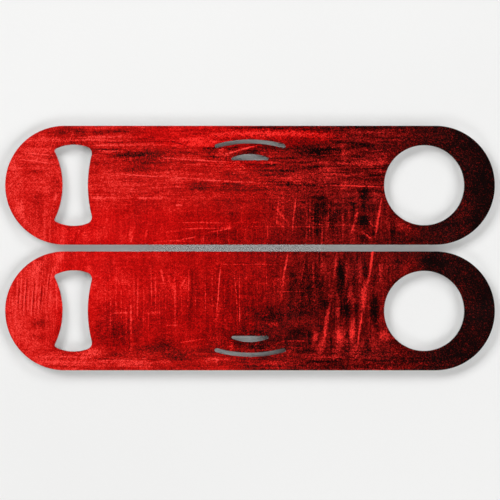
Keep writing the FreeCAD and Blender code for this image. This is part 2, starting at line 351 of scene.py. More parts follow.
class Tree:
    """Adds nodes to a node tree. An input is a number, a tuple, another node's output, or None."""

    def __init__(self, tree):
        self.tree = tree

    def add(self, kind, inputs=(), **settings):
        node = self.tree.nodes.new("ShaderNode" + kind)
        for name, value in settings.items():
            setattr(node, name, value)
        pairs = inputs.items() if isinstance(inputs, dict) else enumerate(inputs)
        for key, value in pairs:
            if isinstance(value, bpy.types.NodeSocket):
                self.tree.links.new(value, node.inputs[key])
            elif value is not None:
                node.inputs[key].default_value = value
        return node

    def math(self, operation, *values, clamp=False):
        return self.add("Math", values, operation=operation, use_clamp=clamp).outputs[0]

    def times(self, first, second):
        return self.math("MULTIPLY", first, second)

    def weighted(self, value, weight, base, clamp=False):
        """The base with value times weight added to it."""
        return self.math("MULTIPLY_ADD", value, weight, base, clamp=clamp)

    def vector(self, operation, *values):
        return self.add("VectorMath", values, operation=operation).outputs[0]

    def scale(self, vector, factor):
        return self.add("VectorMath", {0: vector, "Scale": factor}, operation="SCALE").outputs[0]

    def noise(self, vector, scale=1.0, detail=2.0, roughness=0.5, output="Fac"):
        inputs = {"Vector": vector, "Scale": scale, "Detail": detail, "Roughness": roughness}
        return self.add("TexNoise", inputs).outputs[output]

    def spread(self, vector, stretch, detail=2, roughness=0.5, offset=0.0):
        """Noise about zero, with a spread of about one, over a place scaled by stretch."""
        octaves = [roughness**octave for octave in range(detail + 1)]
        gain = sum(octaves) / math.hypot(*octaves) / ONE_OCTAVE_SPREAD
        shift = offset + OFF_WHOLE
        place = self.vector("MULTIPLY_ADD", vector, stretch, (shift, shift, shift))
        return self.weighted(self.noise(place, 1.0, detail, roughness), gain, -gain / 2)

    def map_range(self, value, low, high, to_low=0.0, to_high=1.0):
        """Turns low to high into to_low to to_high, softly at both ends."""
        inputs = {"Value": value, "From Min": low, "From Max": high, "To Min": to_low, "To Max": to_high}
        node = self.add("MapRange", inputs, interpolation_type="SMOOTHSTEP", clamp=True)
        return node.outputs["Result"]

    def ramp(self, value, stops):
        """A straight ramp between stops, which are places from 0 to 1 with a colour or a level each."""
        node = self.add("ValToRGB", (value,))
        ramp = node.color_ramp
        while len(ramp.elements) < len(stops):
            ramp.elements.new(0.5)
        for element, (position, colour) in zip(ramp.elements, stops):
            element.position = position
            element.color = (*colour, 1) if isinstance(colour, tuple) else (colour, colour, colour, 1)
        return node.outputs["Color"]

    def mix(self, factor, first, second):
        node = self.add("Mix", data_type="RGBA")
        for socket, value in ((0, factor), (6, first), (7, second)):
            self.tree.links.new(value, node.inputs[socket])
        return node.outputs[2]


def linear(*display):
    """A display colour, 0 to 255 each, as the linear colour that the shader takes."""
    shares = [value / 255 for value in display]
    return tuple(v / 12.92 if v <= 0.04045 else ((v + 0.055) / 1.055) ** 2.4 for v in shares)


# -------- the printed artwork

# Levels along the row's X axis, in millimetres. Each row is a place and the level there.
# how light the artwork is
LIGHTNESS = [
    (-89, 0.835), (-76, 0.81), (-62, 0.785), (-48, 0.755), (-32, 0.725), (-16, 0.67), (-4, 0.60),
    (8, 0.51), (20, 0.42), (34, 0.39), (48, 0.38), (58, 0.25), (68, 0.12), (78, 0.03), (89, 0.0),
]
# how strongly it is distressed
DISTRESS = [
    (-89, 0.86), (-50, 0.80), (-20, 0.86), (10, 1.16), (30, 1.26), (50, 1.25), (62, 1.15), (76, 1.15),
    (89, 1.1),
]
# how strong the streaks across the blades are
CROSSING = [
    (-89, 1.1), (-72, 1.0), (-56, 0.42), (-40, 0.4), (0, 0.42), (16, 0.55), (50, 0.65), (64, 0.5),
    (89, 0.3),
]
# how strong all streaks and fine scratches are
STREAKS = [(-89, 0.6), (-72, 0.65), (-60, 1.0), (44, 1.0), (62, 0.35), (89, 0.12)]
# how bright the flecks in the dark end are
FLECKS = [(44, 0.0), (66, 0.14), (89, 0.15)]
# how far the print takes the faded reds, which turn pink earlier as they get lighter
FADING = [(-89, 0.0), (2, 0.0), (28, 1.0), (54, 1.0), (70, 0.0), (89, 0.0)]
# the length that the tables above are spread over
ARTWORK_SPAN = 180

# Where the reds turn to the rubbed ones: from one place in X to another, and how far by then.
RUBBED = [(-66, -76, 1.0), (-4, 34, 0.7), (50, 66, 1.2)]

# Between these places in the row's Y, streaks turn from across the blades to along them.
UPPER_TURN = (9.0, 24.0)
LOWER_TURN = (-33.5, -38.5)
# how far the artwork's lines wander, and how ragged its edges are, in millimetres
WANDER = 7.0
RAGGEDNESS = 1.6
# the darkest and the lightest level, and how softly the artwork runs into each
DARKEST, DARK_SOFTNESS = 0.02, 0.05
LIGHTEST, LIGHT_SOFTNESS = 0.98, 0.12

# A mark fades from its middle to its edge. One with a half width under THIN is a clean scratch, cut
# off level at PLATEAU, and a broader one has ragged edges.
THIN = 0.6
PLATEAU = 0.5

# Marks on the artwork, as it lies on the two faces that show: the middle of each in the row's X and Y,
# its half length and half width, all in millimetres, its slope in degrees, and how strong it is.
# The light ones lighten the artwork and the dark ones darken it.
LIGHT_MARKS = [
    # face-up blade, cap-slot end
    (-60, 39.4, 17, 0.9, 0, 0.2),
    (-54, 40.4, 9, 0.5, 0, 0.18),
    (-50, 37.2, 10, 0.38, 0, 0.22),
    (-50, 34.7, 6, 0.26, -3, 0.2),
    (-43.5, 32.4, 1.2, 0.9, 0, 0.24),
    (-81, 9.5, 3, 1, -50, 0.14),
    (-76, 34, 8, 0.34, -6, 0.22),
    (-78, 31.5, 7, 0.3, -8, 0.18),
    (-83.5, 13.8, 4, 2.4, 90, 0.26),
    (-85, 26, 9, 3, 90, 0.06),
    (-70.5, 18.5, 1.6, 1.3, 30, 0.3),
    (-50, 35.1, 8, 0.34, -5, 0.28),
    (-41, 33.2, 5, 0.34, -3, 0.14),
    (-24, 32.3, 12, 0.34, -3.5, 0.32),
    (-15, 31.6, 7, 0.26, -1, 0.14),
    (-38, 26.3, 10, 0.28, -3.5, 0.3),
    (-22, 25.3, 9, 0.26, -1, 0.2),
    (-50, 22, 8, 3.5, 0, 0.05),
    (-54, 18.2, 5.5, 0.8, -2, 0.28),
    (-33.8, 18.4, 4, 0.7, 3, 0.28),
    (-39, 18.3, 2.4, 0.5, 0, 0.24),
    (-25.7, 15.6, 1.8, 0.45, 0, 0.34),
    (-19, 38.8, 8, 2.4, 0, 0.3),
    (-28, 39.2, 9, 1.6, 0, 0.12),
    (-43.3, 5, 3.4, 0.8, 90, 0.26),
    (-43.2, 3, 1.2, 0.8, 90, 0.2),
    (-37.6, 5.2, 2.4, 0.5, 80, 0.2),
    # face-up blade, middle
    (-4, 41.4, 18, 2, 0, 0.34),
    (11, 41.4, 16, 2.5, 0, 0.42),
    (27, 40.6, 10, 1.8, -4, 0.32),
    (-5, 30, 11, 1.9, -3, 0.2),
    (4, 31.2, 9, 1, -4, 0.22),
    (-3.5, 35.6, 9, 0.38, 15, 0.46),
    (-8.5, 34, 3.5, 1.1, 20, 0.3),
    (-11, 34.8, 3, 1.2, 50, 0.22),
    (-12, 24.5, 18, 0.28, -3, 0.18),
    (10, 23.6, 20, 0.28, -2, 0.17),
    (34, 22.6, 13, 0.3, -2, 0.26),
    (41.5, 22.4, 7.5, 0.32, -1, 0.38),
    (22, 22, 5, 0.8, 0, 0.13),
    (48, 21.5, 3, 1.1, 0, 0.22),
    (35.6, 19.3, 3.4, 1, 0, 0.26),
    (45.2, 18.6, 2.8, 1, 86, 0.24),
    (15, 25.6, 8, 2.4, 0, 0.16),
    (28, 28, 4, 2.2, 0, 0.24),
    (30, 31, 14, 0.6, 0, 0.14),
    (41, 30.8, 7.5, 1.3, 0, 0.3),
    (38, 40.2, 5, 1.2, 0, 0.2),
    (54, 39.4, 4, 1.2, 0, 0.18),
    (32, 37.2, 5, 1.1, 0, 0.2),
    (34, 34, 4, 1.3, 90, 0.32),
    (33.8, 22.4, 3, 2, 60, 0.26),
    (47.5, 32, 3, 2.6, 45, 0.2),
    (46, 28.5, 4, 1.2, 0, 0.12),
    (-17, 9.2, 13, 0.26, -1, 0.28),
    (-18, 7.1, 11, 0.26, 1, 0.24),
    (-23.5, 3.4, 4.5, 0.34, 12, 0.3),
    (-10.5, 6.5, 6.5, 0.34, 10, 0.28),
    (16, 7.7, 20, 0.26, 0, 0.18),
    (-16.7, 4.2, 2.8, 0.26, 90, 0.18),
    (-11.7, 4.2, 2.8, 0.26, 90, 0.16),
    (-7.7, 4, 3, 0.26, 90, 0.18),
    (-4.5, 4.2, 2.8, 0.26, 88, 0.16),
    (-1.6, 5.4, 4, 0.26, 90, 0.14),
    (2.4, 4.8, 3.4, 0.26, 90, 0.12),
    (6.4, 5.2, 3.6, 0.26, 90, 0.14),
    (-0.4, 9.3, 9, 0.26, 0, 0.14),
    (10, 13.3, 6.5, 0.34, 84, 0.24),
    (11.4, 12, 5.5, 0.38, -49, 0.24),
    (21.7, 11, 10, 0.26, 90, 0.26),
    (22.9, 10, 9, 0.22, 90, 0.2),
    (20.6, 9, 9, 0.24, 90, 0.16),
    (25.2, 11, 9, 0.24, 90, 0.18),
    (30.8, 10, 9, 0.26, 90, 0.16),
    (26.2, 5, 4, 0.3, 90, 0.22),
    (-8, 7.8, 3.4, 1.6, 10, 0.2),
    (-28, 6, 6, 0.38, 8, 0.1),
    (-26, 2.6, 8, 0.38, 0, 0.1),
    (11.5, 13.5, 8, 2, 95, 0.2),
    (16, 12.2, 8.5, 0.4, 84, 0.34),
    (11, 8.5, 5, 0.6, -45, 0.2),
    (32, 8.3, 15, 0.28, -1, 0.16),
    (38.6, 11.6, 3.4, 0.9, 86, 0.56),
    (37.5, 7.2, 3, 0.8, 76, 0.44),
    (37, 5, 4, 1.6, 90, 0.16),
    (46.6, 11, 8.6, 0.45, 81, 0.44),
    (46.2, 9, 7, 1.2, 81, 0.2),
    (43.8, 9.2, 2.2, 0.38, -54, 0.36),
    (42.2, 4.8, 2.6, 0.5, -38, 0.4),
    (28.5, 13, 9, 0.34, 90, 0.18),
    (36.2, 12.4, 3, 1, 86, 0.18),
    (20, 13, 3, 1, 88, 0.16),
    (44.4, 3.8, 3, 1, 0, 0.18),
    (33.6, 10, 10, 0.4, 90, 0.14),
    (55, 8.2, 5.5, 2.8, -30, 0.26),
    (68, 9.4, 5, 2, -20, 0.14),
    (78, 7, 3.6, 2, 35, 0.16),
    (72, 13, 6, 3, 60, 0.1),
    # face-down blade, cap-slot end
    (-69, -3.2, 2.8, 1.8, 80, 0.26),
    (-79, -12, 9, 6, 60, 0.06),
    (-84, -20, 8, 2, 90, 0.08),
    (-84.6, -16, 7, 0.3, 87, 0.17),
    (-83.2, -15.5, 7.5, 0.28, 86, 0.18),
    (-81.8, -17, 8, 0.3, 86, 0.18),
    (-80.5, -18, 8, 0.28, 86, 0.17),
    (-79.2, -20, 6, 0.32, 86, 0.24),
    (-77.8, -18.5, 8.5, 0.28, 86, 0.2),
    (-86.1, -21, 6, 0.28, 88, 0.14),
    (-76.4, -17.5, 8.5, 0.3, 85, 0.18),
    (-75, -17, 8, 0.28, 85, 0.17),
    (-73.6, -14, 7, 0.3, 83, 0.15),
    (-72.2, -11, 5, 0.28, 82, 0.11),
    (-77, -7, 4.5, 1.8, 50, 0.2),
    (-57, -14, 2.5, 1.5, 60, 0.12),
    (-47, -23.6, 4.2, 0.3, 3, 0.3),
    (-52.6, -20, 10, 0.28, 90, 0.13),
    (-50.6, -24, 9, 0.26, 90, 0.12),
    (-48.6, -19, 11, 0.28, 90, 0.14),
    (-46.7, -22, 11, 0.26, 90, 0.12),
    (-45, -25, 9, 0.3, 90, 0.14),
    (-43.2, -27, 10, 0.45, 90, 0.22),
    (-42.1, -17, 9, 0.26, 90, 0.12),
    (-40.8, -19, 10, 0.38, 90, 0.18),
    (-38.6, -22, 12, 0.34, 90, 0.16),
    (-36.8, -28, 8, 0.28, 90, 0.14),
    (-34.3, -16, 9, 0.34, 90, 0.18),
    (-32.8, -22, 9, 0.3, 90, 0.14),
    (-30.6, -20, 10, 0.26, 90, 0.12),
    (-34.6, -23.4, 4, 0.8, 6, 0.3),
    (-31.8, -10.2, 3.6, 0.45, -77, 0.34),
    (-35.8, -14, 10, 0.26, 90, 0.18),
    (-28.5, -28, 2.8, 0.26, 0, 0.26),
    (-56.5, -38, 5, 1.9, 0, 0.28),
    (-64, -41.5, 22, 2.6, 0, 0.08),
    (-40, -42, 14, 1.4, 0, 0.14),
    # face-down blade, middle
    (-27.2, -18, 15, 0.26, 90, 0.2),
    (-24.8, -22, 10, 0.24, 90, 0.13),
    (-13.8, -17, 11, 0.24, 90, 0.13),
    (-9.2, -18, 10, 0.24, 90, 0.13),
    (-1.4, -19, 10, 0.24, 91, 0.12),
    (2.6, -16, 8, 0.24, 90, 0.12),
    (-22.4, -17, 12, 0.26, 89, 0.22),
    (-19.6, -20, 8, 0.22, 90, 0.14),
    (-16.2, -16, 11, 0.26, 90, 0.2),
    (-11.4, -15, 10.5, 0.32, 85.5, 0.4),
    (-12.2, -25, 6, 1, 70, 0.16),
    (-5.2, -16, 10.5, 0.26, 94, 0.24),
    (-3.9, -16, 11, 0.22, 90, 0.22),
    (-3.8, -24.5, 5, 0.26, 90, 0.34),
    (-1, -11, 2.4, 1.6, 30, 0.14),
    (0, -5.9, 13, 0.26, 0, 0.22),
    (-24, -12, 4, 0.3, 60, 0.16),
    (-21, -33.6, 7, 0.3, 9, 0.2),
    (-13, -40.6, 7, 1.6, 0, 0.22),
    (-7, -35.3, 2.4, 1.4, 90, 0.3),
    (8.5, -27.8, 3, 1, 0, 0.26),
    (17, -33.7, 5, 0.3, 0, 0.3),
    (8.8, -13, 6, 0.6, 90, 0.16),
    (12.8, -7, 6, 0.41, 79, 0.46),
    (11.3, -15.5, 5.5, 0.9, 83, 0.3),
    (14.5, -15.7, 6.5, 0.26, 0, 0.22),
    (19.3, -8, 5, 0.3, 80, 0.26),
    (22.9, -7.5, 5, 0.3, 90, 0.24),
    (6, -12, 7, 0.22, 92, 0.16),
    (14, -37.5, 9, 1, 10, 0.18),
    (8, -42, 10, 1, 0, 0.14),
    # face-down blade, scratches beside the ring
    (30.9, -6.5, 6.5, 0.8, 83, 0.38),
    (23.3, -16, 9, 1.2, 88, 0.18),
    (26, -7, 5, 1.1, 86, 0.22),
    (47.5, -7.5, 5.5, 1, 87, 0.28),
    (50, -7, 3, 1.1, 80, 0.16),
    (29.6, -17, 6, 0.9, 85, 0.18),
    (32, -23, 4.6, 1, 87, 0.26),
    (27.8, -27, 8, 0.9, 82, 0.5),
    (26, -35, 5, 1.6, 80, 0.42),
    (23.7, -32.2, 2.8, 1.2, 88, 0.54),
    (32.4, -32, 5.5, 2.2, 86, 0.58),
    (37.2, -30, 5.5, 1.5, 84, 0.6),
    (31.2, -38, 3, 2.2, 60, 0.26),
    (38.2, -37, 4.5, 2.2, 84, 0.34),
    (37.6, -20, 3.4, 0.9, 86, 0.2),
    (36.5, -38.2, 4, 1.2, 0, 0.16),
    (41, -35.4, 2.4, 0.9, 88, 0.2),
    (47.6, -32, 2.6, 1.1, 80, 0.18),
    (36, -17.5, 4.5, 1.4, 80, 0.28),
    (35.1, -10, 6.5, 0.9, 87, 0.5),
    (40.2, -9.5, 5.5, 0.9, 88, 0.36),
    (44.1, -4.8, 6.5, 0.55, 83, 0.66),
    (42.8, -12, 4, 0.9, 78, 0.44),
    (41.2, -18.4, 7, 1.5, 87, 0.74),
    (40.4, -27, 4.5, 0.9, 84, 0.34),
    (39.8, -30, 8, 0.38, 81, 0.44),
    (47, -9.5, 5, 1.8, 90, 0.14),
    (49.6, -32, 4, 2.8, -40, 0.34),
    (57, -6, 6, 3, 0, 0.16),
    (53, -10.5, 4, 1.5, 45, 0.14),
    (44, -39, 6, 2, 0, 0.1),
    (66, -42, 9, 1.4, 0, 0.1),
    (52, -41.4, 4, 1, 0, 0.12),
    (78, -9, 3, 1.5, -40, 0.14),
    (73, -13, 6, 2, 130, 0.1),
    # broad lighter patches
    (12, 22, 14, 7, 0, 0.14),
    (12, 41.5, 10, 4, 0, 0.12),
    (-12, 40.5, 11, 5, 0, 0.16),
    (77, 17, 5, 9, 0, 0.16),
    (77, -19, 5, 9, 0, 0.15),
    (74, 2, 9, 6, 0, 0.08),
    (44, -34, 5, 5, 0, 0.1),
    (-28, -13, 8, 7, 0, 0.16),
    (-48, -12, 14, 7, 0, 0.09),
    (11, -12, 6, 5, 0, 0.12),
    (-12, -34, 6, 4, 0, 0.14),
    (36, -33, 6, 5, 0, 0.12),
    (52, 41, 16, 4, 0, 0.08),
    (-28, 26, 7, 5, 0, 0.08),
    (-60, 5, 10, 4, 0, 0.09),
    (76, 12, 5, 6, 0, 0.08),
    (-76, 34, 6, 5, 0, 0.1),
]
DARK_MARKS = [
    # face-up blade, cap-slot end
    (-67.5, 42.2, 9, 1.7, 0, 0.24),
    (-61.5, 42, 3.6, 1.6, 0, 0.32),
    (-55, 41.8, 3, 0.9, 0, 0.24),
    (-48, 42.2, 12, 1.1, 0, 0.26),
    (-48, 38.3, 10, 0.3, 0, 0.26),
    (-52, 35.8, 8, 0.38, -1, 0.26),
    (-49, 33.8, 8, 0.38, -4, 0.24),
    (-25, 37.6, 4.5, 0.34, -18, 0.28),
    (-20.5, 34.3, 4, 0.38, -10, 0.2),
    (-77, 16, 8, 3, 90, 0.12),
    (-71, 22, 6, 3, 90, 0.12),
    (-77, 27.5, 3.4, 1.1, 0, 0.18),
    (-72.5, 33.4, 2.8, 1.6, 0, 0.18),
    (-50, 35.4, 9, 0.8, -3, 0.16),
    (-38, 34.2, 13, 1.7, -3, 0.2),
    (-42, 32.2, 16, 3.8, -3, 0.16),
    (-38, 33.4, 12, 0.5, -3, 0.16),
    (-46, 34.6, 6, 0.5, -2, 0.18),
    (-33, 34.4, 7, 0.6, -3, 0.14),
    (-43, 28.4, 9, 1.8, 0, 0.15),
    (-36, 38.6, 8, 0.9, 0, 0.12),
    (-57, 30, 3, 4, 0, 0.08),
    (-44, 13, 7, 4, 0, 0.06),
    (-18.5, 22.3, 5.5, 1.8, 0, 0.34),
    (-7, 23.3, 8, 0.6, -2, 0.3),
    (-14, 36, 4.5, 1.4, 0, 0.38),
    (-12, 33, 5, 0.7, -6, 0.4),
    (-6.5, 36.2, 4, 1.1, 10, 0.5),
    (3, 35.6, 5, 1.3, 8, 0.5),
    (-4, 43.4, 5, 0.8, 0, 0.3),
    (-5, 21.5, 9, 1.3, 0, 0.14),
    (-7, 27, 8, 0.7, 0, 0.12),
    (-22, 12, 6, 2, 0, 0.08),
    (-8, 13, 6, 3, 0, 0.08),
    # face-up blade, middle
    (6, 43.6, 15, 0.7, 0, 0.2),
    (27, 43.9, 18, 1.5, 0, 0.28),
    (50, 43.8, 14, 1.4, 0, 0.22),
    (24, 39.8, 2.4, 0.9, 0, 0.14),
    (10, 36, 6, 1.6, -8, 0.36),
    (25, 35.4, 12, 2.1, 0, 0.44),
    (24, 34.2, 7, 1.9, 0, 0.34),
    (15, 32.5, 2.6, 0.9, 0, 0.3),
    (40, 37.3, 7, 1.7, 0, 0.24),
    (9.5, 28, 8, 0.9, 0, 0.4),
    (6, 26.5, 5, 0.6, 0, 0.16),
    (14, 22.9, 12, 0.8, -1, 0.36),
    (24, 29.6, 5, 0.55, 0, 0.22),
    (8, 30.4, 4, 0.5, 0, 0.22),
    (17.5, 29.1, 5, 0.45, 0, 0.18),
    (13, 26, 4, 0.45, 0, 0.16),
    (27.5, 27.2, 5, 0.5, 0, 0.2),
    (22, 31.4, 5, 0.5, 0, 0.22),
    (31, 29.6, 4, 0.45, 0, 0.16),
    (23.6, 20.5, 8, 0.7, 0, 0.26),
    (21.5, 18.9, 4, 1.2, 0, 0.2),
    (44, 28.9, 6, 0.6, 0, 0.14),
    (46, 26.4, 5, 0.45, 0, 0.16),
    (34, 27.4, 5, 0.45, 0, 0.16),
    (50, 30.2, 3.4, 0.45, 0, 0.14),
    (39, 33.2, 5, 0.45, 0, 0.18),
    (46, 36, 5, 0.5, 0, 0.18),
    (48.5, 38.6, 4, 0.5, 0, 0.2),
    (30.5, 38.9, 4, 0.45, 0, 0.16),
    (36, 25.2, 5, 0.9, 0, 0.18),
    (25.5, 18.3, 4, 1.1, 0, 0.34),
    (26, 14.3, 4.5, 3.2, 80, 0.34),
    (31.5, 12.5, 5, 2, 90, 0.24),
    (41.3, 19.6, 4, 2.2, 88, 0.7),
    (41.2, 15.2, 3.4, 1.3, 88, 0.26),
    (37, 18, 3, 1.5, 90, 0.2),
    (41.2, 9.8, 3.2, 2.8, 0, 0.7),
    (41.5, 3.8, 3, 2.2, 0, 0.3),
    (46, 3.5, 2, 1.2, 0, 0.2),
    (51.8, 6, 6, 1.1, 88, 0.28),
    (49, 13.5, 3, 1, 90, 0.2),
    (21, 5, 6, 2.6, 0, 0.16),
    (37.5, 14, 3, 0.6, 88, 0.14),
    (23.3, 10, 2.8, 1.4, 88, 0.22),
    (29.6, 9.4, 3.6, 1.6, 88, 0.28),
    (37, 16.2, 3, 1, 0, 0.14),
    (61, 38.8, 4, 0.7, 0, 0.18),
    (69, 9.5, 4.5, 2.6, -30, 0.16),
    (58, 2.8, 11, 1.1, 0, 0.16),
    # face-down blade, cap-slot end
    (-83.9, -17, 6, 0.3, 86, 0.14),
    (-81.2, -16, 7, 0.3, 86, 0.14),
    (-78.5, -17, 7, 0.3, 86, 0.15),
    (-75.7, -18, 7, 0.3, 85, 0.14),
    (-82.6, -20, 6, 0.28, 86, 0.11),
    (-76.5, -27.4, 4.5, 2.6, 0, 0.24),
    (-77, -32.4, 4.5, 1.8, 0, 0.16),
    (-52, -40.2, 7, 0.41, 0, 0.24),
    (-70, -43, 8, 0.7, 0, 0.12),
    (-49, -31, 10, 8, 0, 0.24),
    (-47, -38.6, 6, 1.4, 0, 0.22),
    (-51, -22, 6, 4, 0, 0.1),
    (-30.5, -35, 6, 4.2, 0, 0.28),
    (-27, -38.8, 6, 2.4, 0, 0.26),
    (-36, -36.5, 6, 2, 0, 0.16),
    (-22, -22, 6, 3, 90, 0.06),
    (-20, -14, 6, 1.5, 90, 0.06),
    # face-down blade, middle
    (2.5, -35.8, 7.5, 1.5, 0, 0.4),
    (1, -30.4, 5, 0.9, 0, 0.2),
    (-3, -40.8, 3, 1.5, 0, 0.16),
    (1, -43.2, 8, 0.8, 0, 0.2),
    (7, -24, 8, 3, 0, 0.14),
    (-1, -22, 4, 5, 0, 0.08),
    (16, -12, 2, 6, 0, 0.16),
    (21, -17, 10, 13, 0, 0.24),
    (19, -23, 5, 3, 0, 0.14),
    (26, -13, 3, 2.5, 0, 0.18),
    (18, -30.4, 5, 2.8, 0, 0.3),
    (16, -35.5, 6, 0.8, 0, 0.24),
    (20.4, -5.4, 3, 1.1, 90, 0.18),
    (50.5, -14, 3.4, 1.3, 60, 0.22),
    # face-down blade, beside the ring
    (32.8, -9.3, 6.5, 1.8, 88, 0.6),
    (32.5, -15.5, 3.4, 1.5, 88, 0.46),
    (36.8, -5, 5, 1, 88, 0.32),
    (37.8, -11, 7, 1, 88, 0.36),
    (42, -8, 4.6, 1.2, 88, 0.48),
    (34.9, -22.4, 5.5, 2.4, 87, 0.66),
    (38.5, -21.5, 5, 1, 88, 0.26),
    (45.1, -22.4, 7.6, 2.2, 90, 0.6),
    (45, -12, 5, 1, 86, 0.28),
    (45.6, -5.5, 3.4, 0.7, 86, 0.2),
    (35, -31.8, 2.2, 0.9, 80, 0.34),
    (29.6, -24, 4, 0.7, 84, 0.2),
    (34.6, -37, 3, 0.9, 90, 0.22),
    (29.3, -34, 4, 0.7, 86, 0.22),
    (25.7, -29, 3, 1.1, 80, 0.24),
    (38, -34.6, 1.8, 1.2, 0, 0.22),
    (44, -31, 3, 1, 88, 0.2),
    (42.5, -35, 5, 1.4, 90, 0.24),
    (46, -29, 3, 1.2, 90, 0.16),
    (50.5, -6.5, 4, 0.6, 88, 0.2),
    (53.6, -4.5, 3.4, 0.8, 88, 0.26),
    (56, -5, 3.6, 1.4, 0, 0.16),
    (65, -5, 3.4, 2.4, 0, 0.22),
    (71, -9.6, 3.4, 1.5, -38, 0.16),
    (68, -4.8, 6, 3, -8, 0.2),
    (48.4, -38.4, 3.6, 1.3, 0, 0.24),
    (24.5, -41.3, 5, 1.3, 0, 0.2),
    (70, -39, 6, 3, 30, 0.12),
    # broad darker patches
    (-64, 38, 12, 8, 0, 0.14),
    (-38, 33.2, 22, 7, 0, 0.17),
    (-66, 13, 8, 8, 0, 0.14),
    (24, 12, 9, 8, 0, 0.24),
    (-2, -33.5, 21, 7, 0, 0.34),
    (-46, -28, 24, 12, 0, 0.12),
    (-10, -24, 40, 16, 0, 0.12),
    (-36, -40, 30, 7, 0, 0.18),
    (8, -27, 12, 9, 0, 0.18),
    (36, -12, 6, 6, 0, 0.18),
    (31, -22, 8, 10, 0, 0.14),
    (-66, -34, 8, 8, 0, 0.28),
    (20, -41, 30, 5, 0, 0.16),
    (44, -41, 14, 5, 0, 0.14),
    (-16, -10, 50, 12, 0, 0.07),
    (-4, 34.5, 16, 5, 0, 0.18),
    (-10, 4, 22, 5, 0, 0.14),
    (-44, 26, 6, 4, 0, 0.1),
    (28, 5, 6, 4, 0, 0.08),
    (52, 5, 6, 4, 0, 0.1),
    (28, -20, 6, 6, 0, 0.1),
    (16, -34, 10, 5, 0, 0.14),
    (52, -34, 6, 5, 0, 0.12),
    (60, -41, 16, 4, 0, 0.09),
    (4, 40, 6, 5, 0, 0.09),
    (-84, 11, 5, 5, 0, 0.08),
    (-76, -6, 6, 4, 0, 0.1),
    (85.5, 25, 15, 3.6, 95, 0.16),
    (85.5, -17, 10, 3.4, 88, 0.13),
    (-34, -35, 12, 5, 0, 0.08),
    (52, 34, 6, 5, 0, 0.08),
    (66, -41, 10, 5, 0, 0.08),
    (64, -5, 10, 5, 0, 0.07),
    (-40, 41, 12, 4, 0, 0.07),
]
# where the red stays pure although the artwork is light there
PURE_PATCHES = [
    (-4, 40.5, 46, 6, 0, 4),
    (-4, 30.5, 14, 3, 0, 1.2),
]


